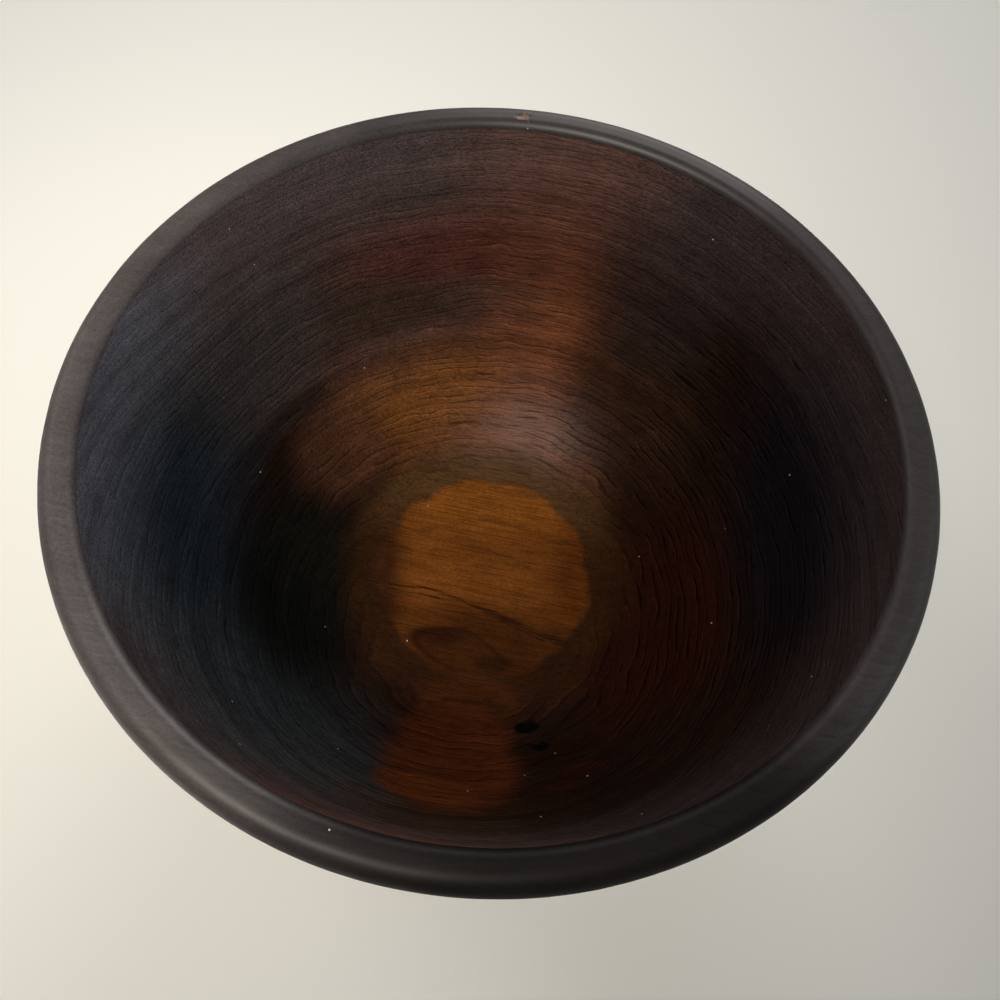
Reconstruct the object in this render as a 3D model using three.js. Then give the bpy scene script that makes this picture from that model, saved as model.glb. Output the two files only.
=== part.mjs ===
// A wooden salad bowl, turned in one piece from a block of hardwood.
// Millimetres, +Z up. The origin is on the turning axis, at the underside of the foot.

import * as THREE from 'three';

// Overall size: the widest point of the rim, and the height from the foot to the top of the rim.
const RIM_DIAMETER = 280;
const BOWL_HEIGHT = 137;

// Rim: a narrow flat top with a full round on the outside and a smaller one on the inside.
const RIM_WIDTH = 12.4;
const RIM_OUTER_RADIUS = 6;
const RIM_INNER_RADIUS = 4;

// Hollow: a flat floor, and a wall that leaves it at a low slope and steepens up to the rim.
// Slopes are in degrees from the horizontal. Fullness is the length of the curve's handle at that
// end, as a share of the straight line from the floor's edge to the rim.
const FLOOR_DIAMETER = 88;
const WALL_SLOPE_AT_FLOOR = 12;
const WALL_SLOPE_AT_RIM = 77;
const FULLNESS_AT_FLOOR = 0.29;
const FULLNESS_AT_RIM = 0.435;

// Base: the wood under the floor, and a low foot ring hollowed on its underside.
const BASE_THICKNESS = 11;
const FOOT_HEIGHT = 5;
const FOOT_DIAMETER = 104;
const FOOT_RING_WIDTH = 10;
const FOOT_HOLLOW_DEPTH = 3;
const FOOT_EDGE_RADIUS = 1.5;
const FOOT_COVE_RADIUS = 4;

// Facets
const SEGMENTS_AROUND = 64;
const WALL_STEPS = 12;
const ROUND_STEPS = 4;

const RIM_RADIUS = RIM_DIAMETER / 2;
const FLOOR_RADIUS = FLOOR_DIAMETER / 2;
const FOOT_RADIUS = FOOT_DIAMETER / 2;
const FLOOR_LEVEL = FOOT_HEIGHT + BASE_THICKNESS;

// Half-section points are (distance from the axis, height).
const point = (radius, height) => new THREE.Vector2(radius, height);
const direction = (degrees) => point(1, 0).rotateAround(point(0, 0), THREE.MathUtils.degToRad(degrees));

function arc(centre, radius, fromDegrees, toDegrees, steps = ROUND_STEPS) {
  return Array.from({ length: steps + 1 }, (_, step) => {
    const degrees = THREE.MathUtils.lerp(fromDegrees, toDegrees, step / steps);
    return direction(degrees).multiplyScalar(radius).add(centre);
  });
}

// The rim's two rounds are tangent to its flat top and to the walls below it.
const SLANT_BELOW_RIM = 90 - WALL_SLOPE_AT_RIM;
const outerRimCentre = point(RIM_RADIUS - RIM_OUTER_RADIUS, BOWL_HEIGHT - RIM_OUTER_RADIUS);
const outerRimRound = [
  ...arc(outerRimCentre, RIM_OUTER_RADIUS, -SLANT_BELOW_RIM, 0, 1),
  ...arc(outerRimCentre, RIM_OUTER_RADIUS, 0, 90),
];
const innerRimCentre = point(RIM_RADIUS - RIM_WIDTH + RIM_INNER_RADIUS, BOWL_HEIGHT - RIM_INNER_RADIUS);
const innerRimRound = arc(innerRimCentre, RIM_INNER_RADIUS, 90, 180 - SLANT_BELOW_RIM);

// The inside of the wall is one smooth curve from the floor's edge up to the rim's inner edge.
function insideWallCurve() {
  const floorEdge = point(FLOOR_RADIUS, FLOOR_LEVEL);
  const rimEdge = innerRimRound.at(-1);
  const chord = floorEdge.distanceTo(rimEdge);
  const floorHandle = direction(WALL_SLOPE_AT_FLOOR).multiplyScalar(FULLNESS_AT_FLOOR * chord);
  const rimHandle = direction(WALL_SLOPE_AT_RIM).multiplyScalar(FULLNESS_AT_RIM * chord);
  return new THREE.CubicBezierCurve(
    floorEdge, floorHandle.add(floorEdge), rimEdge.clone().sub(rimHandle), rimEdge,
  );
}

// The outside follows the inside at a thickness that goes evenly from the base's to the rim's.
function outsideWallPoints(inside) {
  const acrossRim = outerRimRound[0].clone().sub(innerRimRound.at(-1));
  const rimThickness = acrossRim.dot(direction(WALL_SLOPE_AT_RIM - 90));
  return Array.from({ length: WALL_STEPS + 1 }, (_, step) => {
    const share = step / WALL_STEPS;
    const along = inside.getTangent(share);
    const thickness = THREE.MathUtils.lerp(BASE_THICKNESS, rimThickness, share);
    return point(along.y, -along.x).multiplyScalar(thickness).add(inside.getPoint(share));
  });
}

// Height of the outside wall at a radius, between the two points on either side of it.
function wallHeightAt(radius, wall) {
  const above = wall.findIndex((p) => p.x > radius);
  if (above < 1) return wall[0].y;
  const low = wall[above - 1];
  return THREE.MathUtils.mapLinear(radius, low.x, wall[above].x, low.y, wall[above].y);
}

// The foot ring: eased edges on its underside, a hollow inside it, and a cove up to the wall.
function footPoints(wall) {
  const ringInside = FOOT_RADIUS - FOOT_RING_WIDTH;
  const coveOuterRadius = FOOT_RADIUS + FOOT_COVE_RADIUS;
  const coveTop = point(coveOuterRadius, wallHeightAt(coveOuterRadius, wall));
  const corner = point(FOOT_RADIUS, wallHeightAt(FOOT_RADIUS, wall));
  const coveFoot = point(FOOT_RADIUS, Math.max(corner.y - FOOT_COVE_RADIUS, FOOT_EDGE_RADIUS));
  const cove = new THREE.QuadraticBezierCurve(coveFoot, corner, coveTop);
  return [
    point(0, FOOT_HOLLOW_DEPTH),
    point(ringInside, FOOT_HOLLOW_DEPTH),
    ...arc(point(ringInside + FOOT_EDGE_RADIUS, FOOT_EDGE_RADIUS), FOOT_EDGE_RADIUS, 180, 270),
    ...arc(point(FOOT_RADIUS - FOOT_EDGE_RADIUS, FOOT_EDGE_RADIUS), FOOT_EDGE_RADIUS, 270, 360),
    ...cove.getPoints(ROUND_STEPS),
  ];
}

// The whole half-section runs from the axis under the foot, up the outside, over the rim and
// down the inside to the axis on the floor.
function halfSection() {
  const inside = insideWallCurve();
  const wall = outsideWallPoints(inside);
  const foot = footPoints(wall);
  const exposedWall = wall.filter((p) => p.x > foot.at(-1).x && p.y < outerRimRound[0].y);
  const section = [
    ...foot,
    ...exposedWall,
    ...outerRimRound,
    ...innerRimRound,
    ...inside.getPoints(WALL_STEPS).reverse().slice(1),
    point(0, FLOOR_LEVEL),
  ];
  const closest = 0.05;
  return section.filter((p, index) => index === 0 || p.distanceTo(section[index - 1]) > closest);
}

// Turning: the half-section goes once round the axis, which then stands up along +Z.
const turned = new THREE.LatheGeometry(halfSection(), SEGMENTS_AROUND);
turned.rotateX(Math.PI / 2);

const stainedHardwood = new THREE.MeshStandardMaterial({
  color: '#3b2618',
  roughness: 0.42,
  metalness: 0,
});

const bowl = new THREE.Mesh(turned, stainedHardwood);
bowl.name = 'bowl';

const saladBowl = new THREE.Group();
saladBowl.add(bowl);

export default saladBowl;
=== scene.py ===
import math

import bpy
from mathutils import Matrix, Vector
from mathutils.geometry import interpolate_bezier


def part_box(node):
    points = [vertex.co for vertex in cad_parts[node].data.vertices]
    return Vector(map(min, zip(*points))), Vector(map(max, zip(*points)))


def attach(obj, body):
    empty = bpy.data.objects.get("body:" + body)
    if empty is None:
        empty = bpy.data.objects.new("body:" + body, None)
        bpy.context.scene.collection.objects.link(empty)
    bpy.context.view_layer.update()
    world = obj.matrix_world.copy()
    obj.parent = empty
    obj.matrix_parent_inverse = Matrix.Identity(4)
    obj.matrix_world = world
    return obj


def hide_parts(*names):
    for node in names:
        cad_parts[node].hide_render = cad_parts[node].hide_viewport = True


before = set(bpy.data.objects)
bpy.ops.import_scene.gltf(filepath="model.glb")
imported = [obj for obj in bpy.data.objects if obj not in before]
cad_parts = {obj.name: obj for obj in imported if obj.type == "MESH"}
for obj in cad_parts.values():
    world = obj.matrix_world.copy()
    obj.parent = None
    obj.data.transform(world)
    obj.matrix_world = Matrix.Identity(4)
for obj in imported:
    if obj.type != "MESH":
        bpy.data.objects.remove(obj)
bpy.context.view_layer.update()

# The bowl is one block of open-grained hardwood, cut from the side of a log and turned on a lathe.
# Rim, wall, floor and foot are the same wood, stained dark and sealed with a satin lacquer.
# Its half-section is turned round the axis, then dented where the wood has knots and a chip.
MM = 0.001
bowl_low, bowl_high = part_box("bowl")
RIM_RADIUS = (bowl_high[0] - bowl_low[0]) / 2
BOWL_HEIGHT = bowl_high[2]
RIM_WIDTH = 12.4 * MM
RIM_OUTER_ROUND = 6 * MM
RIM_INNER_ROUND = 4 * MM
FLOOR_RADIUS = 44 * MM
FLOOR_LEVEL = 16 * MM
WALL_SLOPE_AT_FLOOR = 12
WALL_SLOPE_AT_RIM = 77
FULLNESS_AT_FLOOR = 0.29
FULLNESS_AT_RIM = 0.435
BASE_THICKNESS = 11 * MM
FOOT_RADIUS = 52 * MM
FOOT_RING_WIDTH = 10 * MM
FOOT_HOLLOW_DEPTH = 3 * MM
FOOT_EDGE_ROUND = 1.5 * MM
FOOT_COVE = 4 * MM
SANDING_UNEVENNESS = 0.25 * MM
SANDING_LENGTH = 22 * MM
# Facets: round the axis, and along each stretch of the half-section.
FACETS_AROUND = 520
HOLLOW_STEPS = 6
FOOT_EDGE_STEPS = 5
COVE_POINTS = 8
WALL_POINTS = 76
RIM_OUTER_STEPS = 14
RIM_TOP_STEPS = 5
RIM_INNER_STEPS = 10
FLOOR_STEPS = 22
CLEAR_OF_RIM_ROUND = 1 * MM
MERGE_DISTANCE = 0.002 * MM
# Dents in millimetres: place, reach and depth of two bark pockets by the floor and a chip on the rim.
DENTS = {
    "bark pocket": ((20, -68, 28.4), 4.0, 0.9),
    "small bark pocket": ((25, -76.5, 37), 3.2, 0.7),
    "rim chip": ((0.8, 132.5, 137), 2.0, 0.7),
}


def heading(degrees):
    angle = math.radians(degrees)
    return Vector((math.cos(angle), math.sin(angle)))


def arc(centre, radius, start, end, steps):
    return [centre + radius * heading(start + (end - start) * i / steps) for i in range(steps + 1)]


def between(start, end, steps):
    return [start.lerp(end, i / steps) for i in range(1, steps)]


def offset_wall(inside, base_thickness, rim_thickness):
    """The outside of the wall, parallel to its inside at an evenly changing thickness."""
    outside = []
    last = len(inside) - 1
    for i, here in enumerate(inside):
        slope = (inside[min(i + 1, last)] - inside[max(i - 1, 0)]).normalized()
        thickness = base_thickness + (rim_thickness - base_thickness) * i / last
        outside.append(here + thickness * Vector((slope.y, -slope.x)))
    return outside


def half_section():
    """Points (distance from the axis, height) from under the foot, up, over the rim and down inside."""
    slant = 90 - WALL_SLOPE_AT_RIM
    outer_centre = Vector((RIM_RADIUS - RIM_OUTER_ROUND, BOWL_HEIGHT - RIM_OUTER_ROUND))
    inner_centre = Vector((RIM_RADIUS - RIM_WIDTH + RIM_INNER_ROUND, BOWL_HEIGHT - RIM_INNER_ROUND))
    outer_round = arc(outer_centre, RIM_OUTER_ROUND, -slant, 90, RIM_OUTER_STEPS)
    inner_round = arc(inner_centre, RIM_INNER_ROUND, 90, 180 - slant, RIM_INNER_STEPS)
    rim_top = between(outer_round[-1], inner_round[0], RIM_TOP_STEPS)

    floor_middle = Vector((0, FLOOR_LEVEL))
    floor_edge = Vector((FLOOR_RADIUS, FLOOR_LEVEL))
    floor = between(floor_edge, floor_middle, FLOOR_STEPS)
    rim_edge = inner_round[-1]
    chord = (rim_edge - floor_edge).length
    floor_handle = floor_edge + FULLNESS_AT_FLOOR * chord * heading(WALL_SLOPE_AT_FLOOR)
    rim_handle = rim_edge - FULLNESS_AT_RIM * chord * heading(WALL_SLOPE_AT_RIM)
    inside = interpolate_bezier(floor_edge, floor_handle, rim_handle, rim_edge, WALL_POINTS)

    rim_thickness = (outer_round[0] - rim_edge).dot(heading(WALL_SLOPE_AT_RIM - 90))
    outside = offset_wall(inside, BASE_THICKNESS, rim_thickness)
    cove_top = next(p for p in outside if p.x > FOOT_RADIUS + FOOT_COVE)
    cove_corner = Vector((FOOT_RADIUS, next(p.y for p in outside if p.x > FOOT_RADIUS)))
    cove_foot = Vector((FOOT_RADIUS, max(cove_corner.y - FOOT_COVE, FOOT_EDGE_ROUND)))
    cove = interpolate_bezier(cove_foot, cove_corner, cove_corner, cove_top, COVE_POINTS)
    wall_end = outer_round[0].y - CLEAR_OF_RIM_ROUND
    wall = [p for p in outside if p.x > cove_top.x and p.y < wall_end][::2]

    ring_inner = FOOT_RADIUS - FOOT_RING_WIDTH
    hollow_middle = Vector((0, FOOT_HOLLOW_DEPTH))
    hollow_edge = Vector((ring_inner, FOOT_HOLLOW_DEPTH))
    hollow = between(hollow_middle, hollow_edge, HOLLOW_STEPS)
    inner_edge_centre = Vector((ring_inner + FOOT_EDGE_ROUND, FOOT_EDGE_ROUND))
    outer_edge_centre = Vector((FOOT_RADIUS - FOOT_EDGE_ROUND, FOOT_EDGE_ROUND))
    ring_inside = arc(inner_edge_centre, FOOT_EDGE_ROUND, 180, 270, FOOT_EDGE_STEPS)
    ring_outside = arc(outer_edge_centre, FOOT_EDGE_ROUND, 270, 360, FOOT_EDGE_STEPS)

    points = [hollow_middle, *hollow, hollow_edge, *ring_inside, *ring_outside, *cove, *wall]
    points += [*outer_round, *rim_top, *inner_round, *reversed(inside[:-1]), *floor, floor_middle]
    return points


def add_node(tree, kind, links=None, **settings):
    """Adds a node, gives it its settings, and sets or links its inputs."""
    node = tree.nodes.new(kind)
    for name, value in settings.items():
        setattr(node, name, value)
    for socket, source in (links or {}).items():
        if isinstance(source, bpy.types.NodeSocket):
            tree.links.new(source, node.inputs[socket])
        else:
            node.inputs[socket].default_value = source
    return node


def turning_tree():
    """Turns the half-section round the axis, and adds the unevenness of hand sanding and the dents."""
    tree = bpy.data.node_groups.new("turn_on_lathe", "GeometryNodeTree")
    inputs = {
        "Half-section": "NodeSocketGeometry",
        "Facets around": "NodeSocketInt",
        "Points along": "NodeSocketInt",
        "Unevenness": "NodeSocketFloat",
        "Unevenness length": "NodeSocketFloat",
        "Finish": "NodeSocketMaterial",
    }
    for dent in DENTS:
        inputs[dent + " place"] = "NodeSocketVector"
        inputs[dent + " reach"] = "NodeSocketFloat"
        inputs[dent + " depth"] = "NodeSocketFloat"
    for name, kind in inputs.items():
        tree.interface.new_socket(name, in_out="INPUT", socket_type=kind)
    tree.interface.new_socket("Bowl", in_out="OUTPUT", socket_type="NodeSocketGeometry")
    given = add_node(tree, "NodeGroupInput").outputs
    place = add_node(tree, "GeometryNodeInputPosition").outputs[0]
    normal = add_node(tree, "GeometryNodeInputNormal").outputs[0]

    # A grid with one column for each facet, wrapped round the axis
    columns = add_node(tree, "FunctionNodeIntegerMath", {
        0: given["Facets around"], 1: 1}, operation="ADD")
    grid = add_node(tree, "GeometryNodeMeshGrid", {
        "Vertices X": columns.outputs[0], "Vertices Y": given["Points along"]})
    index = add_node(tree, "GeometryNodeInputIndex").outputs[0]
    row = add_node(tree, "FunctionNodeIntegerMath", {
        0: index, 1: given["Points along"]}, operation="MODULO")
    column = add_node(tree, "FunctionNodeIntegerMath", {
        0: index, 1: given["Points along"]}, operation="DIVIDE")
    section = add_node(tree, "GeometryNodeSampleIndex", {
        "Geometry": given["Half-section"], "Value": place, "Index": row.outputs[0]},
        data_type="FLOAT_VECTOR")
    share = add_node(tree, "ShaderNodeMath", {
        0: column.outputs[0], 1: given["Facets around"]}, operation="DIVIDE")
    angle = add_node(tree, "ShaderNodeMath", {
        0: share.outputs[0], 1: math.tau}, operation="MULTIPLY")
    turned = add_node(tree, "ShaderNodeVectorRotate", {
        "Vector": section.outputs[0], "Angle": angle.outputs[0]}, rotation_type="Z_AXIS")
    body = add_node(tree, "GeometryNodeSetPosition", {
        "Geometry": grid.outputs[0], "Position": turned.outputs[0]}).outputs[0]
    body = add_node(tree, "GeometryNodeMergeByDistance", {
        "Geometry": body, "Distance": MERGE_DISTANCE}).outputs[0]

    # What sanding and the dents take off, everywhere but on the face that the bowl rests on
    per_length = add_node(tree, "ShaderNodeMath", {
        0: 1.0, 1: given["Unevenness length"]}, operation="DIVIDE")
    noise = add_node(tree, "ShaderNodeTexNoise", {
        "Vector": place, "Scale": per_length.outputs[0], "Detail": 2.0})
    removed = add_node(tree, "ShaderNodeMath", {
        0: noise.outputs[0], 1: given["Unevenness"]}, operation="MULTIPLY").outputs[0]
    for dent in DENTS:
        away = add_node(tree, "ShaderNodeVectorMath", {
            0: place, 1: given[dent + " place"]}, operation="DISTANCE")
        near = add_node(tree, "ShaderNodeMapRange", {
            "Value": away.outputs["Value"], "From Min": given[dent + " reach"], "From Max": 0.0},
            interpolation_type="SMOOTHSTEP")
        removed = add_node(tree, "ShaderNodeMath", {
            0: near.outputs[0], 1: given[dent + " depth"], 2: removed},
            operation="MULTIPLY_ADD").outputs[0]
    inward = add_node(tree, "ShaderNodeMath", {0: removed, 1: -1.0}, operation="MULTIPLY")
    pushed = add_node(tree, "ShaderNodeVectorMath", {
        0: normal, "Scale": inward.outputs[0]}, operation="SCALE")
    height = add_node(tree, "ShaderNodeSeparateXYZ", {0: place}).outputs["Z"]
    above_foot = add_node(tree, "ShaderNodeMath", {
        0: height, 1: FOOT_HOLLOW_DEPTH}, operation="GREATER_THAN")
    body = add_node(tree, "GeometryNodeSetPosition", {
        "Geometry": body, "Selection": above_foot.outputs[0], "Offset": pushed.outputs[0]}).outputs[0]
    body = add_node(tree, "GeometryNodeSetShadeSmooth", {"Geometry": body}).outputs[0]
    body = add_node(tree, "GeometryNodeRealizeInstances", {"Geometry": body}).outputs[0]
    body = add_node(tree, "GeometryNodeSetMaterial", {
        "Geometry": body, "Material": given["Finish"]}).outputs[0]
    add_node(tree, "NodeGroupOutput", {0: body})
    return tree


def linear(hex_colour):
    """An sRGB hex colour as linear RGBA."""
    values = [int(hex_colour[i:i + 2], 16) / 255 for i in (0, 2, 4)]
    return [v / 12.92 if v <= 0.04045 else ((v + 0.055) / 1.055) ** 2.4 for v in values] + [1.0]


WOOD = "5f3824"
STAIN = "180d08"
COVE_STAIN = "43301a"
NEAR_COVE_STAIN = "2c1809"
WORN_FLOOR = "663a15"
RIM_STAIN = "2c2727"
PAINTED_SHEEN_TONE = "564b4c"
VEIN_COLOUR = "1c0d05"
POCKET_COLOUR = "040303"
DUST_COLOUR = "b7ada0"
BARE_WOOD = "6e5148"
# How the block lay in the log, in millimetres: the growth layers are flattened arches round a pith
# outside the bowl, above its far side. The fibres run along X, turned a little.
PITH_PLACE = (0, 100, 254)
FIBRE_TURN = math.radians(-8)
LAYER_FLATNESS = 0.64
LINE_SPACING = 2.1
BAND_WIDTH = 6
# How the layers sway: length and reach in millimetres.
LAYER_SWAYS = ((45, 4.0), (11, 0.8))
# Streaks along the layers: length and width in millimetres, and the noise's detail.
LAYER_STREAKS = {
    "drift": (22, 4.5, 2.0),
    "break": (14, 1.7, 1.0),
    "run": (34, 5.0, 3.0),
}
# Marks along the fibres: length and width in millimetres. Pores are drawn coarser than real ones, to show.
FIBRE_MARKS = {
    "pores": (12, 0.5),
    "streaks": (40, 2.0),
    "grain": (0.9, 0.9),
}
# Wandering edges: length and reach in millimetres, and the noise's detail.
WANDERING = {
    "wavy": (14, 2.6, 0.0),
    "torn": (2.8, 7.0, 3.0),
}
BLOTCH_LENGTH = 13
DUST_SPACING = 11
RELIEF_DEPTH = 0.12 * MM
# How far each mark darkens or lightens the wood.
LINE_SHADE = -0.52
PORE_SHADE = -0.3
# The crests' lightening is a painted glint along the ridge beside each line.
PAINTED_GLINT_SHADE = 0.45
STREAK_SHADE = 0.6
BLOTCH_SHADE = 0.6
GRAIN_SHADE = 0.9
# Painted shade on the side grain of the near wall and the layer above it: place and reach in millimetres,
# the tone there, and how far it is taken.
PAINTED_NEAR_SHADE = {
    "painted shade, near side": ((0, -82, 46), (120, 64, 66), "1e1108", 0.95),
    "painted shade, layer above it": ((5, -116, 102), (94, 30, 46), "1e140c", 0.9),
}
# Where the stain took unevenly, in the same terms, with painted light and shade among it: a painted
# bluish-grey reflection on the left wall and painted shade on the right wall.
UNEVEN_STAIN_AND_PAINTED_LIGHT = {
    "painted bluish reflection, left wall": ((-100, -29, 89), (47, 89, 52), "20282f", 0.9),
    "painted grey sheen, near left": ((-69, -78, 80), (68, 62, 67), "2d3133", 0.8),
    "ochre far cove": ((-36, 70, 41), (44, 48, 27), "673e1b", 0.95),
    "red far left": ((-65, 43, 33), (34, 30, 22), "452a1c", 0.8),
    "brown far left wall": ((-50, 92, 81), (78, 91, 50), "3b2a26", 0.9),
    "painted grey sheen, left wall": ((-98, 56, 88), (46, 46, 44), "343131", 0.75),
    "dark left cove": ((-70, -20, 39), (40, 57, 38), "0d100d", 0.82),
    "dark right cove": ((62, -8, 24), (34, 62, 24), "160a02", 0.9),
    "dull far wall": ((20, 116, 96), (62, 34, 30), "4c2b1e", 0.7),
    "red above the cove": ((-30, 109, 88), (54, 30, 20), "4a241d", 0.5),
    "olive above the cove": ((-48, 92, 68), (42, 22, 12), "2c231a", 0.6),
    "brown far right cove": ((52, 64, 50), (36, 48, 40), "2a1a10", 0.85),
    "grey far right wall": ((56, 86, 95), (38, 45, 47), "281d1c", 0.85),
    "red right wall": ((69, -29, 34), (50, 74, 43), "220b05", 0.8),
    "painted bluish shade, right wall": ((114, 0, 88), (42, 80, 52), "0e0c10", 0.9),
    "smear by the pockets": ((31, -80, 42), (19, 13, 14), "1a0802", 0.6),
    "brown by the floor": ((30, -44, 19), (20, 17, 15), "2a1506", 0.7),
}
# Patches of redder wood with crisp edges on the near wall.
CRISP_TONES = {
    "wedge": ((-7, -84, 50), (31, 55, 54), "46200e", 0.94),
    "wedge, high end": ((-13, -99, 64), (25, 15, 15), "54290f", 0.6),
    "wedge by the floor": ((-3, -58, 21), (28, 16, 13), "4a240c", 0.5),
    "red streak, low end": ((28, -96, 63), (13, 6, 7), "260e08", 0.8),
    "red streak, high end": ((39, -88, 56), (13, 7, 7), "260e08", 0.8),
}
# The floor is worn down to the wood, darker towards its left and right edges and smudged by the lens
# figure, with painted light at its far end and painted shade at its near edge.
WORN_PLACE = (0, -2, 16)
WORN_HALF = (44, 45.5, 30)
FLOOR_TONES = {
    "painted light, far end": ((0, 30, 16), (40, 18, 30), "724316", 0.7),
    "painted shade, near edge": ((0, -50, 16), (64, 44, 30), "2e1406", 0.8),
    "right edge": ((46, -4, 16), (26, 44, 30), "48240a", 0.8),
    "left edge": ((-48, -8, 16), (18, 44, 30), "1c0c08", 0.8),
    "smudge over the lens": ((-17, -30, 16), (15, 4.5, 30), "241006", 0.8),
    "smudge under the lens": ((5, -40, 16), (9, 4, 30), "241006", 0.7),
}
# A duller ring round the floor, in millimetres from the axis, changes its stain from near to far.
COVE_RING_OUTER = 65
COVE_RING_INNER = 49
COVE_RING_SHARE = 0.85
FAR_COVE_START = 6
FAR_COVE_END = 42
# The growth lines come up over this stretch, in millimetres from the axis.
LINES_START = 47
LINES_WHOLE = 64
# Painted sheen, a greyish reflection on the upper walls: the heights it comes up over, then by axis where
# it is least and whole, and its least.
PAINTED_SHEEN_START = 81
PAINTED_SHEEN_WHOLE = 137
PAINTED_SHEEN_SHARE = 0.9
PAINTED_SHEEN_SIDES = {
    "X": (125, -110, 0.31),
    "Y": (-110, 0, 0.54),
}
# A painted bluish reflection on the upper left wall.
PAINTED_SHEEN_TONES = {
    "bluish left": ((-122, -15, 120), (36, 88, 48), "62646c", 0.9),
}
# The coat covers the rim from its inner edge, the outside, and all below the floor.
COAT_EDGE_LOW = 133.6
COAT_EDGE_HIGH = 134.8
COATED_BELOW = 14
# Tones of the coat: brown on the outside wall, a painted sheen on the left of the rim and painted shade on
# its near side.
RIM_TONES = {
    "brown outside wall": ((0, 0, 45), (220, 220, 88), "2f1f17", 0.85),
    "painted sheen, left side": ((-125, 0, 137), (130, 175, 36), "453f3f", 0.9),
    "painted shade, near side": ((45, -128, 137), (105, 56, 40), "0b0807", 0.9),
}
# How much lacquer is left on the coat, and how much more or less on parts of the rim.
RIM_LACQUER = 0.55
RIM_GLOSS = {
    "polished far side": ((45, 122, 137), (100, 40, 40), 0.35),
    "polished near left": ((-90, -98, 137), (62, 46, 36), 0.75),
    "dry near side": ((45, -128, 137), (105, 56, 40), -0.32),
}
# The lens figure: its place and half sizes in millimetres. Rings are the place and width of each
# dark line round it, as a share of the half sizes, and how dark the line is.
LENS_PLACE = (-7.5, -35.5, 16)
LENS_TURN = math.radians(-17)
LENS_HALF = (20.5, 8.0, 8.0)
LENS_SWELL = 4.0
LENS_SHADE = 0.26
LENS_RINGS = ((1.2, 0.24, 0.75), (0.78, 0.18, 0.5))
# Dark veins: both ends in millimetres, and the width.
VEINS = [
    ((-39, -9, 16), (-24, -10, 16), 0.9),
    ((-39, -11, 16), (-18, -14, 16), 0.8),
    ((-24, -10, 16), (6, -18, 16), 1.0),
    ((-16, -12, 16), (10, -20, 16), 0.7),
    ((2, -18, 16), (34, -30, 16), 2.6),
    ((8, -22, 16), (26, -29, 16), 0.9),
    ((-27, -89, 52), (-10, -93, 52), 1.1),
    ((-10, -93, 52), (4, -94, 53), 0.9),
    ((-16, -61, 23), (14, -61, 23), 0.9),
]
POCKET_STRETCH = (1.5, 1.2, 1)
# Grain that stands more open on the right wall, and lacquer half left in the far cove.
OPEN_GRAIN_PLACE = (90, -10, 62)
OPEN_GRAIN_REACH = (70, 130, 70)
SHEEN_PLACE = (10, 64, 27)
SHEEN_REACH = (45, 34, 28)
SHEEN_SHARE = 0.44
# A patch is raggedly edged at this share of its reach, and fades over these shares to either side.
PATCH_EDGE = 0.95
PATCH_RAGGED = 0.4
SOFT_FADE = 0.35
CRISP_FADE = 0.16
SHEEN_FADE = 0.5


def patch(tree, place, ragged, centre, reach, share, fade):
    """How much of a local change there is at a place: share in its middle, fading raggedly to none."""
    scaled = add_node(tree, "ShaderNodeMapping", {
        "Vector": place, "Location": centre, "Scale": reach}, vector_type="TEXTURE")
    away = add_node(tree, "ShaderNodeVectorMath", {0: scaled.outputs[0]}, operation="LENGTH")
    away = add_node(tree, "ShaderNodeMath", {
        0: ragged, 1: PATCH_RAGGED, 2: away.outputs["Value"]}, operation="MULTIPLY_ADD")
    return add_node(tree, "ShaderNodeMapRange", {
        "Value": away.outputs[0], "From Min": PATCH_EDGE + fade, "From Max": PATCH_EDGE - fade,
        "To Max": share}, interpolation_type="SMOOTHSTEP").outputs[0]


def toned(tree, place, ragged, colour, tones, fade=SOFT_FADE):
    """A colour with local tones mixed into it, one after the other."""
    for centre, reach, tone, share in tones.values():
        taken = patch(tree, place, ragged, centre, reach, share, fade)
        colour = add_node(tree, "ShaderNodeMix", {
            0: taken, 6: colour, 7: linear(tone)}, data_type="RGBA").outputs[2]
    return colour


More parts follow.
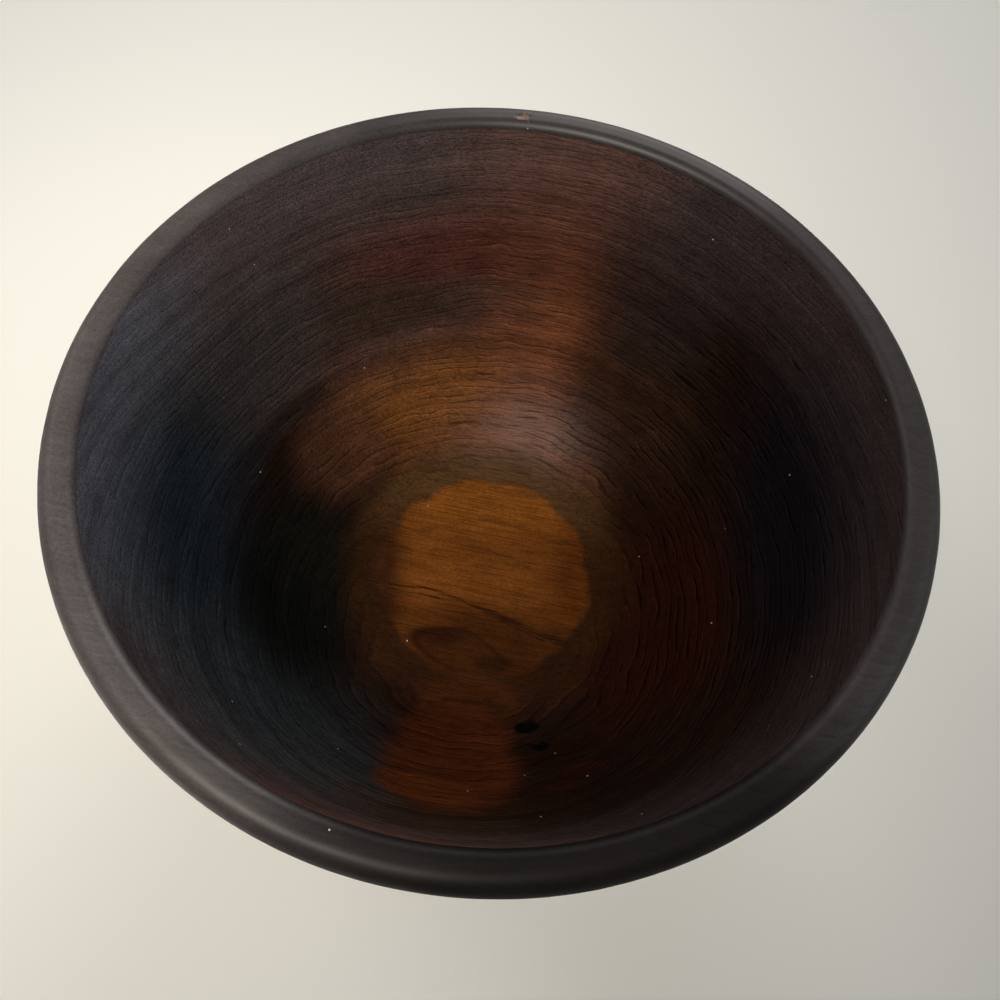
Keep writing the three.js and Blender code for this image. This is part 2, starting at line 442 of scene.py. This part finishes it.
def stained_hardwood():
    """Stained open-grained hardwood under satin lacquer: fine dark lines where the growth layers meet
    the surface, short pores along the fibres, and end grain that has drunk the stain almost to black."""
    material = bpy.data.materials.new("stained_hardwood")
    material.use_nodes = True
    tree = material.node_tree
    tree.nodes.clear()
    coordinates = add_node(tree, "ShaderNodeTexCoord").outputs
    normal = coordinates["Normal"]
    place = add_node(tree, "ShaderNodeVectorMath", {
        0: coordinates["Object"], "Scale": 1 / MM}, operation="SCALE").outputs[0]
    axes = add_node(tree, "ShaderNodeSeparateXYZ", {0: place}).outputs
    from_axis = add_node(tree, "ShaderNodeVectorMath", {
        0: place, 1: (1, 1, 0)}, operation="MULTIPLY").outputs[0]
    radius = add_node(tree, "ShaderNodeVectorMath", {0: from_axis}, operation="LENGTH").outputs["Value"]
    log = add_node(tree, "ShaderNodeMapping", {
        "Vector": place, "Location": PITH_PLACE, "Rotation": (0, 0, FIBRE_TURN)},
        vector_type="TEXTURE").outputs[0]
    blotch = add_node(tree, "ShaderNodeTexNoise", {
        "Vector": place, "Scale": 1 / BLOTCH_LENGTH, "Detail": 4.0}).outputs[0]

    # Places bent a little, for wavy veins and torn edges
    bent = {}
    for name, (length, reach, detail) in WANDERING.items():
        wander = add_node(tree, "ShaderNodeTexNoise", {
            "Vector": place, "Scale": 1 / length, "Detail": detail})
        wander = add_node(tree, "ShaderNodeVectorMath", {
            0: wander.outputs["Color"], 1: (reach, reach, 0), 2: (-reach / 2, -reach / 2, 0)},
            operation="MULTIPLY_ADD")
        bent[name] = add_node(tree, "ShaderNodeVectorMath", {
            0: place, 1: wander.outputs[0]}, operation="ADD").outputs[0]

    # Growth layers, with a swell round the lens figure on the floor
    across = add_node(tree, "ShaderNodeVectorMath", {
        0: log, 1: (0, LAYER_FLATNESS, 1)}, operation="MULTIPLY")
    layer = add_node(tree, "ShaderNodeVectorMath", {
        0: across.outputs[0]}, operation="LENGTH").outputs["Value"]
    for length, reach in LAYER_SWAYS:
        sway = add_node(tree, "ShaderNodeTexNoise", {
            "Vector": log, "Scale": 1 / length, "Detail": 1.0})
        layer = add_node(tree, "ShaderNodeMath", {
            0: sway.outputs[0], 1: reach, 2: layer}, operation="MULTIPLY_ADD").outputs[0]
    lens = add_node(tree, "ShaderNodeMapping", {
        "Vector": bent["wavy"], "Location": LENS_PLACE, "Rotation": (0, 0, LENS_TURN),
        "Scale": LENS_HALF}, vector_type="TEXTURE").outputs[0]
    lens = add_node(tree, "ShaderNodeVectorMath", {0: lens}, operation="LENGTH").outputs["Value"]
    swell = add_node(tree, "ShaderNodeMapRange", {
        "Value": lens, "From Min": 1.8, "From Max": 0.0, "To Max": LENS_SWELL},
        interpolation_type="SMOOTHSTEP")
    layer = add_node(tree, "ShaderNodeMath", {
        0: layer, 1: swell.outputs[0]}, operation="ADD").outputs[0]

    # Fine lines along the layers, each with a crest beside it for a painted glint, broader bands, and how
    # stain ran along them
    streaks = {}
    for name, (length, width, detail) in LAYER_STREAKS.items():
        spread = add_node(tree, "ShaderNodeVectorMath", {
            0: log, 1: (1 / length, 1 / length, 0)}, operation="MULTIPLY")
        step = add_node(tree, "ShaderNodeMath", {0: layer, 1: width}, operation="DIVIDE")
        rise = add_node(tree, "ShaderNodeCombineXYZ", {"Z": step.outputs[0]})
        spread = add_node(tree, "ShaderNodeVectorMath", {
            0: spread.outputs[0], 1: rise.outputs[0]}, operation="ADD")
        streaks[name] = add_node(tree, "ShaderNodeTexNoise", {
            "Vector": spread.outputs[0], "Scale": 1.0, "Detail": detail}).outputs[0]
    broken = add_node(tree, "ShaderNodeMapRange", {
        "Value": streaks["break"], "From Min": 0.36, "From Max": 0.56},
        interpolation_type="SMOOTHSTEP").outputs[0]
    phase = add_node(tree, "ShaderNodeMath", {
        0: layer, 1: math.tau / LINE_SPACING}, operation="MULTIPLY").outputs[0]
    phase = add_node(tree, "ShaderNodeMath", {
        0: streaks["drift"], 1: math.tau * 2.1, 2: phase}, operation="MULTIPLY_ADD").outputs[0]
    edges = {}
    for name, lag in (("groove", 0.0), ("crest", 1.1)):
        wave = add_node(tree, "ShaderNodeMath", {0: phase, 1: lag}, operation="SUBTRACT")
        wave = add_node(tree, "ShaderNodeMath", {0: wave.outputs[0]}, operation="SINE")
        wave = add_node(tree, "ShaderNodeMapRange", {
            "Value": wave.outputs[0], "From Min": 0.55, "From Max": 0.98},
            interpolation_type="SMOOTHSTEP")
        edges[name] = add_node(tree, "ShaderNodeMath", {
            0: wave.outputs[0], 1: broken}, operation="MULTIPLY").outputs[0]
    band = add_node(tree, "ShaderNodeTexNoise", {
        "W": layer, "Scale": 1 / BAND_WIDTH, "Detail": 3.0}, noise_dimensions="1D").outputs[0]

    # Pores and faint streaks along the fibres, and the fine roughness of the old finish
    speckle = {}
    for name, (length, width) in FIBRE_MARKS.items():
        spread = add_node(tree, "ShaderNodeVectorMath", {
            0: log, 1: (1 / length, 1 / width, 1 / width)}, operation="MULTIPLY")
        speckle[name] = add_node(tree, "ShaderNodeTexNoise", {
            "Vector": spread.outputs[0], "Scale": 1.0, "Detail": 1.0}).outputs[0]
    pores = add_node(tree, "ShaderNodeMapRange", {
        "Value": speckle["pores"], "From Min": 0.50, "From Max": 0.66},
        interpolation_type="SMOOTHSTEP").outputs[0]

    # The side grain with painted shade on the near side, then the stain where the surface cuts across the
    # fibres
    ragged = streaks["run"]
    colour = toned(tree, place, ragged, linear(WOOD), PAINTED_NEAR_SHADE)
    fibre = (math.cos(FIBRE_TURN), math.sin(FIBRE_TURN), 0)
    cut = add_node(tree, "ShaderNodeVectorMath", {0: normal, 1: fibre}, operation="DOT_PRODUCT")
    cut = add_node(tree, "ShaderNodeMath", {0: cut.outputs["Value"]}, operation="ABSOLUTE")
    cut = add_node(tree, "ShaderNodeMath", {
        0: ragged, 1: 0.25, 2: cut.outputs[0]}, operation="MULTIPLY_ADD")
    drunk = add_node(tree, "ShaderNodeMapRange", {
        "Value": cut.outputs[0], "From Min": 0.20, "From Max": 0.58},
        interpolation_type="SMOOTHSTEP").outputs[0]
    colour = add_node(tree, "ShaderNodeMix", {
        0: drunk, 6: colour, 7: linear(STAIN)}, data_type="RGBA").outputs[2]
    # Uneven stain, with a painted bluish-grey reflection on the left wall and painted shade on the right
    # wall
    colour = toned(tree, place, ragged, colour, UNEVEN_STAIN_AND_PAINTED_LIGHT)

    # A duller ring in the cove, the crisp patches, and the floor worn down to the wood, with painted light
    # at its far end and painted shade at its near edge
    cove_ring = add_node(tree, "ShaderNodeMapRange", {
        "Value": radius, "From Min": COVE_RING_OUTER, "From Max": COVE_RING_INNER,
        "To Max": COVE_RING_SHARE}, interpolation_type="SMOOTHSTEP")
    far_half = add_node(tree, "ShaderNodeMapRange", {
        "Value": axes["Y"], "From Min": FAR_COVE_START, "From Max": FAR_COVE_END},
        interpolation_type="SMOOTHSTEP")
    cove_colour = add_node(tree, "ShaderNodeMix", {
        0: far_half.outputs[0], 6: linear(NEAR_COVE_STAIN), 7: linear(COVE_STAIN)},
        data_type="RGBA").outputs[2]
    colour = add_node(tree, "ShaderNodeMix", {
        0: cove_ring.outputs[0], 6: colour, 7: cove_colour}, data_type="RGBA").outputs[2]
    colour = toned(tree, place, ragged, colour, CRISP_TONES, CRISP_FADE)
    floor_colour = toned(tree, place, ragged, linear(WORN_FLOOR), FLOOR_TONES)
    worn = add_node(tree, "ShaderNodeMapping", {
        "Vector": place, "Location": WORN_PLACE, "Scale": WORN_HALF}, vector_type="TEXTURE")
    worn = add_node(tree, "ShaderNodeVectorMath", {0: worn.outputs[0]}, operation="LENGTH")
    worn = add_node(tree, "ShaderNodeMath", {
        0: blotch, 1: 0.24, 2: worn.outputs["Value"]}, operation="MULTIPLY_ADD")
    worn = add_node(tree, "ShaderNodeMapRange", {
        "Value": worn.outputs[0], "From Min": 1.14, "From Max": 1.06},
        interpolation_type="SMOOTHSTEP").outputs[0]
    colour = add_node(tree, "ShaderNodeMix", {
        0: worn, 6: colour, 7: floor_colour}, data_type="RGBA").outputs[2]

    # A painted greyish sheen towards the rim, strongest on the left and far walls
    painted_sheen = add_node(tree, "ShaderNodeMapRange", {
        "Value": axes["Z"], "From Min": PAINTED_SHEEN_START, "From Max": PAINTED_SHEEN_WHOLE, "To Max": PAINTED_SHEEN_SHARE},
        interpolation_type="SMOOTHSTEP").outputs[0]
    for axis, (start, whole, least) in PAINTED_SHEEN_SIDES.items():
        side = add_node(tree, "ShaderNodeMapRange", {
            "Value": axes[axis], "From Min": start, "From Max": whole, "To Min": least})
        painted_sheen = add_node(tree, "ShaderNodeMath", {
            0: painted_sheen, 1: side.outputs[0]}, operation="MULTIPLY").outputs[0]
    painted_sheen_colour = toned(tree, place, ragged, linear(PAINTED_SHEEN_TONE), PAINTED_SHEEN_TONES)
    colour = add_node(tree, "ShaderNodeMix", {
        0: painted_sheen, 6: colour, 7: painted_sheen_colour}, data_type="RGBA").outputs[2]

    # Lines and pores darken the wood, and painted glints on the crests between them lighten it
    shown = add_node(tree, "ShaderNodeMapRange", {"Value": worn, "To Min": 1.0, "To Max": 0.2})
    steep = add_node(tree, "ShaderNodeMapRange", {
        "Value": radius, "From Min": LINES_START, "From Max": LINES_WHOLE, "To Min": 0.15})
    clear = add_node(tree, "ShaderNodeMapRange", {"Value": painted_sheen, "To Min": 1.0, "To Max": 0.25})
    open_grain = patch(tree, place, ragged, OPEN_GRAIN_PLACE, OPEN_GRAIN_REACH, 1.0, SOFT_FADE)
    open_grain = add_node(tree, "ShaderNodeMapRange", {
        "Value": open_grain, "To Min": 0.8, "To Max": 1.6})
    for share in (steep, clear, open_grain):
        shown = add_node(tree, "ShaderNodeMath", {
            0: shown.outputs[0], 1: share.outputs[0]}, operation="MULTIPLY")
    lines = add_node(tree, "ShaderNodeMath", {
        0: edges["groove"], 1: shown.outputs[0]}, operation="MULTIPLY").outputs[0]
    painted_glints = add_node(tree, "ShaderNodeMath", {
        0: edges["crest"], 1: shown.outputs[0]}, operation="MULTIPLY").outputs[0]
    shade = add_node(tree, "ShaderNodeMapRange", {
        "Value": band, "From Min": 0.3, "From Max": 0.7, "To Min": 1.33, "To Max": 0.96}).outputs[0]
    faint = add_node(tree, "ShaderNodeMath", {0: speckle["streaks"], 1: 0.5}, operation="SUBTRACT")
    faint = add_node(tree, "ShaderNodeMath", {
        0: faint.outputs[0], 1: clear.outputs[0]}, operation="MULTIPLY").outputs[0]
    marks = ((lines, LINE_SHADE), (pores, PORE_SHADE), (painted_glints, PAINTED_GLINT_SHADE), (faint, STREAK_SHADE))
    for mark, change in marks:
        factor = add_node(tree, "ShaderNodeMath", {0: mark, 1: change, 2: 1.0}, operation="MULTIPLY_ADD")
        shade = add_node(tree, "ShaderNodeMath", {
            0: shade, 1: factor.outputs[0]}, operation="MULTIPLY").outputs[0]
    colour = add_node(tree, "ShaderNodeVectorMath", {
        0: colour, "Scale": shade}, operation="SCALE").outputs[0]

    # The lens figure and the dark veins, a little wavy, and the ragged bark pockets
    dark = add_node(tree, "ShaderNodeMapRange", {
        "Value": lens, "From Min": 1.1, "From Max": 0.8, "To Max": LENS_SHADE},
        interpolation_type="SMOOTHSTEP").outputs[0]
    uneven = add_node(tree, "ShaderNodeMath", {
        0: blotch, 1: 0.5, 2: lens}, operation="MULTIPLY_ADD").outputs[0]
    thick = add_node(tree, "ShaderNodeMapRange", {
        "Value": ragged, "From Min": 0.4, "From Max": 0.6, "To Min": 0.4}).outputs[0]
    for ring_place, ring_width, ring_shade in LENS_RINGS:
        off_ring = add_node(tree, "ShaderNodeMath", {0: uneven, 1: ring_place}, operation="SUBTRACT")
        off_ring = add_node(tree, "ShaderNodeMath", {0: off_ring.outputs[0]}, operation="ABSOLUTE")
        ring = add_node(tree, "ShaderNodeMapRange", {
            "Value": off_ring.outputs[0], "From Min": ring_width, "From Max": 0.0,
            "To Max": ring_shade}, interpolation_type="SMOOTHSTEP")
        ring = add_node(tree, "ShaderNodeMath", {0: ring.outputs[0], 1: thick}, operation="MULTIPLY")
        dark = add_node(tree, "ShaderNodeMath", {
            0: dark, 1: ring.outputs[0]}, operation="MAXIMUM").outputs[0]
    feather = add_node(tree, "ShaderNodeMapRange", {
        "Value": speckle["pores"], "From Min": 0.35, "From Max": 0.55,
        "To Min": 0.35, "To Max": 0.85}).outputs[0]
    for start, end, width in VEINS:
        run = Vector(end) - Vector(start)
        from_start = add_node(tree, "ShaderNodeVectorMath", {
            0: bent["wavy"], 1: start}, operation="SUBTRACT").outputs[0]
        along = add_node(tree, "ShaderNodeVectorMath", {
            0: from_start, 1: run / run.length_squared}, operation="DOT_PRODUCT")
        along = add_node(tree, "ShaderNodeClamp", {0: along.outputs["Value"]}).outputs[0]
        nearest = add_node(tree, "ShaderNodeVectorMath", {0: run, "Scale": along}, operation="SCALE")
        away = add_node(tree, "ShaderNodeVectorMath", {
            0: from_start, 1: nearest.outputs[0]}, operation="DISTANCE")
        vein = add_node(tree, "ShaderNodeMapRange", {
            "Value": away.outputs["Value"], "From Min": width, "From Max": 0.0, "To Max": feather},
            interpolation_type="SMOOTHSTEP")
        dark = add_node(tree, "ShaderNodeMath", {
            0: dark, 1: vein.outputs[0]}, operation="MAXIMUM").outputs[0]
    colour = add_node(tree, "ShaderNodeMix", {
        0: dark, 6: colour, 7: linear(VEIN_COLOUR)}, data_type="RGBA").outputs[2]
    for dent, (centre, reach, _) in DENTS.items():
        away = add_node(tree, "ShaderNodeMapping", {
            "Vector": bent["torn"], "Location": centre, "Scale": POCKET_STRETCH}, vector_type="TEXTURE")
        away = add_node(tree, "ShaderNodeVectorMath", {0: away.outputs[0]}, operation="LENGTH")
        hollow = add_node(tree, "ShaderNodeMapRange", {
            "Value": away.outputs["Value"], "From Min": reach, "From Max": 0.6 * reach},
            interpolation_type="SMOOTHSTEP").outputs[0]
        if dent == "rim chip":
            chip = hollow
            continue
        colour = add_node(tree, "ShaderNodeMix", {
            0: hollow, 6: colour, 7: linear(POCKET_COLOUR)}, data_type="RGBA").outputs[2]

    # Dark stain on the rim and the outside, with a painted sheen on the left of the rim and painted shade
    # on its near side, the chip's bare wood, and specks of dust
    on_rim = add_node(tree, "ShaderNodeMapRange", {
        "Value": axes["Z"], "From Min": COAT_EDGE_LOW, "From Max": COAT_EDGE_HIGH},
        interpolation_type="SMOOTHSTEP")
    outward = add_node(tree, "ShaderNodeVectorMath", {
        0: from_axis, 1: normal}, operation="DOT_PRODUCT")
    outside = add_node(tree, "ShaderNodeMath", {
        0: outward.outputs["Value"], 1: 1.0}, operation="GREATER_THAN")
    underneath = add_node(tree, "ShaderNodeMath", {0: axes["Z"], 1: COATED_BELOW}, operation="LESS_THAN")
    coated = on_rim.outputs[0]
    for side in (outside, underneath):
        coated = add_node(tree, "ShaderNodeMath", {
            0: coated, 1: side.outputs[0]}, operation="MAXIMUM").outputs[0]
    coat_colour = toned(tree, place, ragged, linear(RIM_STAIN), RIM_TONES)
    veiled = add_node(tree, "ShaderNodeMapRange", {
        "Value": shade, "From Min": 0.4, "From Max": 1.4, "To Min": 0.7, "To Max": 1.25}).outputs[0]
    coat_colour = add_node(tree, "ShaderNodeVectorMath", {
        0: coat_colour, "Scale": veiled}, operation="SCALE").outputs[0]
    colour = add_node(tree, "ShaderNodeMix", {
        0: coated, 6: colour, 7: coat_colour}, data_type="RGBA").outputs[2]
    colour = add_node(tree, "ShaderNodeMix", {
        0: chip, 6: colour, 7: linear(BARE_WOOD)}, data_type="RGBA").outputs[2]
    for mark, change in ((blotch, BLOTCH_SHADE), (speckle["grain"], GRAIN_SHADE)):
        around = add_node(tree, "ShaderNodeMath", {0: mark, 1: 0.5}, operation="SUBTRACT")
        factor = add_node(tree, "ShaderNodeMath", {
            0: around.outputs[0], 1: change, 2: 1.0}, operation="MULTIPLY_ADD")
        colour = add_node(tree, "ShaderNodeVectorMath", {
            0: colour, "Scale": factor.outputs[0]}, operation="SCALE").outputs[0]
    specks = add_node(tree, "ShaderNodeTexVoronoi", {
        "Vector": place, "Scale": 1 / DUST_SPACING}).outputs
    speck = add_node(tree, "ShaderNodeMath", {0: specks["Distance"], 1: 0.028}, operation="LESS_THAN")
    kept = add_node(tree, "ShaderNodeMath", {0: specks["Color"], 1: 0.52}, operation="GREATER_THAN")
    speck = add_node(tree, "ShaderNodeMath", {
        0: speck.outputs[0], 1: kept.outputs[0]}, operation="MULTIPLY")
    colour = add_node(tree, "ShaderNodeMix", {
        0: speck.outputs[0], 6: colour, 7: linear(DUST_COLOUR)}, data_type="RGBA").outputs[2]

    # Lines and pores cut into the surface, which the coat almost fills
    relief = add_node(tree, "ShaderNodeMath", {0: lines, 1: pores}, operation="ADD")
    relief = add_node(tree, "ShaderNodeMath", {
        0: speckle["grain"], 1: 0.4, 2: relief.outputs[0]}, operation="MULTIPLY_ADD")
    bare = add_node(tree, "ShaderNodeMapRange", {
        "Value": coated, "To Min": -1.0, "To Max": -0.1}).outputs[0]
    relief = add_node(tree, "ShaderNodeMath", {
        0: relief.outputs[0], 1: bare}, operation="MULTIPLY").outputs[0]
    bump = add_node(tree, "ShaderNodeBump", {
        "Height": relief, "Distance": RELIEF_DEPTH, "Strength": 1.0})

    # Satin lacquer on the rim and the outside, half worn in the far cove and gone elsewhere
    sheen = patch(tree, place, ragged, SHEEN_PLACE, SHEEN_REACH, SHEEN_SHARE, SHEEN_FADE)
    for opening, left in ((edges["groove"], 0.3), (pores, 0.5), (blotch, 0.5)):
        closed = add_node(tree, "ShaderNodeMapRange", {
            "Value": opening, "To Min": 1.0, "To Max": left})
        sheen = add_node(tree, "ShaderNodeMath", {
            0: sheen, 1: closed.outputs[0]}, operation="MULTIPLY").outputs[0]
    gloss = RIM_LACQUER
    for centre, reach, change in RIM_GLOSS.values():
        more = patch(tree, place, ragged, centre, reach, change, SOFT_FADE)
        gloss = add_node(tree, "ShaderNodeMath", {0: gloss, 1: more}, operation="ADD").outputs[0]
    lacquer = add_node(tree, "ShaderNodeMath", {0: coated, 1: gloss}, operation="MULTIPLY")
    lacquer = add_node(tree, "ShaderNodeMath", {
        0: sheen, 1: lacquer.outputs[0]}, operation="MAXIMUM").outputs[0]
    shader = add_node(tree, "ShaderNodeBsdfPrincipled", {
        "Base Color": colour, "Roughness": 0.6, "IOR": 1.5, "Specular IOR Level": 0.03,
        "Coat Weight": lacquer, "Coat Roughness": 0.46, "Coat IOR": 1.5, "Normal": bump.outputs[0]})
    add_node(tree, "ShaderNodeOutputMaterial", {"Surface": shader.outputs[0]})
    return material


section = half_section()
section_mesh = bpy.data.meshes.new("half_section")
section_mesh.from_pydata([(p.x, 0, p.y) for p in section], [], [])
blank = bpy.data.objects.new("half_section", section_mesh)
bpy.context.collection.objects.link(blank)
lathe = blank.modifiers.new("lathe", "NODES")
lathe.node_group = turning_tree()
lathe_inputs = {
    "Facets around": FACETS_AROUND,
    "Points along": len(section),
    "Unevenness": SANDING_UNEVENNESS,
    "Unevenness length": SANDING_LENGTH,
    "Finish": stained_hardwood(),
}
for dent, (dent_place, dent_reach, dent_depth) in DENTS.items():
    lathe_inputs[dent + " place"] = Vector(dent_place) * MM
    lathe_inputs[dent + " reach"] = dent_reach * MM
    lathe_inputs[dent + " depth"] = dent_depth * MM
for socket in lathe.node_group.interface.items_tree:
    if socket.name in lathe_inputs:
        lathe[socket.identifier] = lathe_inputs[socket.name]
view = bpy.context.evaluated_depsgraph_get()
turned_mesh = bpy.data.meshes.new_from_object(blank.evaluated_get(view), depsgraph=view)
turned_mesh.name = "turned_bowl"
bpy.data.objects.remove(blank)
turned_bowl = bpy.data.objects.new("turned_bowl", turned_mesh)
bpy.context.collection.objects.link(turned_bowl)
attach(turned_bowl, "root")
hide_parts("bowl")

# The table, under a plain pale cloth much wider than the bowl.
# It is only the stage, so it has no folds. It lies a hair below the foot ring.
TABLE_HALF = 8.0
TABLE_LEVEL = -0.2 * MM
CLOTH_COLOUR = "e8e8e3"
CLOTH_ROUGHNESS = 0.9
table_mesh = bpy.data.meshes.new("table")
table_corners = [(-1, -1), (1, -1), (1, 1), (-1, 1)]
table_points = [(x * TABLE_HALF, y * TABLE_HALF, TABLE_LEVEL) for x, y in table_corners]
table_mesh.from_pydata(table_points, [], [(0, 1, 2, 3)])
table = bpy.data.objects.new("table", table_mesh)
bpy.context.collection.objects.link(table)
cloth = bpy.data.materials.new("pale_cloth")
cloth.use_nodes = True
cloth_shader = cloth.node_tree.nodes["Principled BSDF"]
cloth_shader.inputs["Base Color"].default_value = linear(CLOTH_COLOUR)
cloth_shader.inputs["Roughness"].default_value = CLOTH_ROUGHNESS
table_mesh.materials.append(cloth)

# Soft light in a dim room: a small warm softbox over the near left, a wide window on the far left,
# another beyond the far side, and a wide cool fill on the right.
# Each lamp has its place, what it is aimed at, its size, its spread in degrees, its watts and its colour.
ROOM_COLOUR = (1.0, 0.97, 0.93, 1.0)
ROOM_LIGHT = 0.12
LAMPS = {
    "softbox": ((-0.38, -0.67, 1.27), (-0.15, 0.09, 0.05), 0.3, 40, 1.04, (1.0, 0.92, 0.81)),
    "window": ((-1.92, 1.2, 1.62), (0, 0, 0.1), 1.6, 180, 15.5, (1.0, 0.98, 0.95)),
    "far_window": ((0.4, 2.24, 1.38), (0, 0, 0.1), 1.6, 180, 22, (1.0, 0.98, 0.95)),
    "right_fill": ((2.0, 0.15, 1.46), (-0.1, 0, 0.08), 2.7, 180, 15, (0.88, 0.94, 1.0)),
}
world = bpy.data.worlds.new("room")
world.use_nodes = True
world.node_tree.nodes["Background"].inputs["Color"].default_value = ROOM_COLOUR
world.node_tree.nodes["Background"].inputs["Strength"].default_value = ROOM_LIGHT
bpy.context.scene.world = world
for name, (lamp_place, lamp_aim, lamp_size, lamp_spread, lamp_power, lamp_colour) in LAMPS.items():
    lamp = bpy.data.lights.new(name, "AREA")
    lamp.shape = "DISK"
    lamp.size = lamp_size
    lamp.spread = math.radians(lamp_spread)
    lamp.energy = lamp_power
    lamp.color = lamp_colour
    lamp_holder = bpy.data.objects.new(name, lamp)
    lamp_holder.location = lamp_place
    lamp_direction = Vector(lamp_aim) - Vector(lamp_place)
    lamp_holder.rotation_euler = lamp_direction.to_track_quat("-Z", "Y").to_euler()
    bpy.context.collection.objects.link(lamp_holder)

# The camera is held over the near side of the bowl, a little rolled, and looks steeply down into it.
# Its angles are in degrees, and its sensor and lens in millimetres.
CAMERA_PLACE = (0.0, -0.16689, 0.40234)
CAMERA_DOWN = 62.542
CAMERA_HEADING = 1.144
CAMERA_ROLL = 5.505
CAMERA_SENSOR = 36
CAMERA_LENS = 36.07
camera = bpy.data.cameras.new("camera")
camera.sensor_width = CAMERA_SENSOR
camera.lens = CAMERA_LENS
camera_holder = bpy.data.objects.new("camera", camera)
aim = Matrix.Rotation(math.radians(-CAMERA_HEADING), 4, "Z")
aim = aim @ Matrix.Rotation(math.radians(90 - CAMERA_DOWN), 4, "X")
aim = aim @ Matrix.Rotation(math.radians(CAMERA_ROLL), 4, "Z")
camera_holder.matrix_world = Matrix.Translation(CAMERA_PLACE) @ aim
bpy.context.collection.objects.link(camera_holder)
bpy.context.scene.camera = camera_holder
bpy.context.scene.view_settings.view_transform = "Standard"
